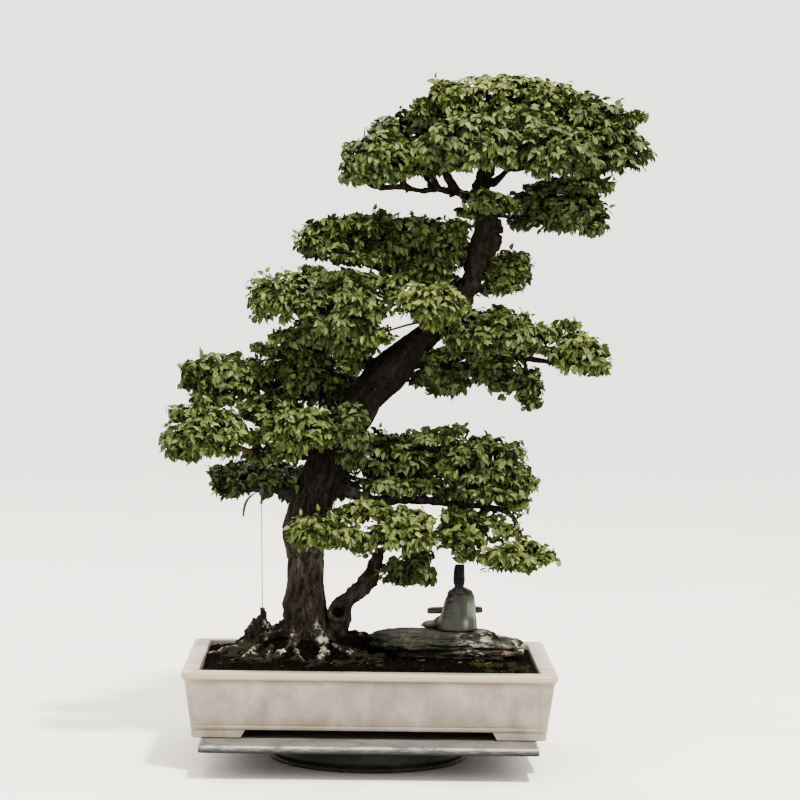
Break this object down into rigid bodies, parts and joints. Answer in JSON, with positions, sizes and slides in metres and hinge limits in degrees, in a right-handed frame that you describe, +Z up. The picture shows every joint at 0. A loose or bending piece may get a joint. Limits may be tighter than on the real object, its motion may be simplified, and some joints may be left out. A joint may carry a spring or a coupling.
{
  "type": "broadleaf bonsai",
  "caption": "Leaning broadleaf bonsai with layered leaf pads in a shallow rectangular glazed pot, beside a flat rock with a seated zither player, on a slate slab and round riser.",
  "frame": {"origin": "centre of the round riser's flat underside, where the piece stands on a table", "axes": "+Z up, along the tree's height; +X to the right of a viewer who faces the pot's long front side; +Y away from that viewer"},
  "size_m": [0.7215, 0.435, 1.0084],
  "materials": {
    "riser_wood": "dark satin lacquer",
    "slate": "matt, mottled grey",
    "cream_glaze": "semi-gloss cream glaze with tan stains",
    "screen_plastic": "moulded mesh",
    "soil": "dark moist grit and soil",
    "bark": "rough fissured bark",
    "rock_slate": "split layered slate",
    "celadon": "soft grey-green glaze",
    "zither_brown": "brown glaze",
    "strap_rubber": "matt black",
    "wire": "dull weathered",
    "leaf_deep": "waxy leaf, shaded green",
    "leaf_mid": "waxy leaf, middle green",
    "leaf_bright": "waxy leaf, young yellow-green"
  },
  "bodies": {
    "root": {"riser": "riser_wood", "slab": "slate", "pot": "cream_glaze", "drain_screen_0": "screen_plastic", "drain_screen_1": "screen_plastic", "soil": "soil", "trunk": "bark", "rock": "rock_slate", "figure": "celadon", "zither": "zither_brown", "guy_strap": "strap_rubber", "guy_wire": "wire", "leaves_crown_left_front": "leaf_mid", "leaves_crown_left_back": "leaf_deep", "leaves_crown_top": "leaf_bright", "leaves_crown_front": "leaf_mid", "leaves_crown_right": "leaf_mid", "leaves_crown_right_back": "leaf_deep", "leaves_crown_right_front": "leaf_mid", "leaves_crown_back": "leaf_deep", "leaves_neck": "leaf_mid", "leaves_under_crown_right": "leaf_deep", "leaves_upper_left_tip": "leaf_bright", "leaves_upper_left": "leaf_mid", "leaves_upper_back": "leaf_deep", "leaves_upper_right": "leaf_mid", "leaves_left_high_tip": "leaf_bright", "leaves_left_high": "leaf_mid", "leaves_left_high_back": "leaf_deep", "leaves_middle_front": "leaf_bright", "leaves_right_mid": "leaf_mid", "leaves_right_mid_tip": "leaf_bright", "leaves_right_mid_low": "leaf_deep", "leaves_right_mid_back": "leaf_deep", "leaves_fork_low": "leaf_deep", "leaves_left_mid_tip": "leaf_bright", "leaves_left_mid": "leaf_mid", "leaves_left_front_tip": "leaf_bright", "leaves_left_front": "leaf_bright", "leaves_trunk_front": "leaf_deep", "leaves_left_low": "leaf_deep", "leaves_right_low": "leaf_mid", "leaves_right_low_tip": "leaf_mid", "leaves_right_low_back": "leaf_deep", "leaves_low_front": "leaf_bright", "leaves_low_mid": "leaf_bright", "leaves_low_right": "leaf_mid", "leaves_low_right_tip": "leaf_bright", "leaves_second_tip": "leaf_deep", "leaves_back_low": "leaf_deep", "leaves_back_mid": "leaf_deep"}
  },
  "joints": []
}
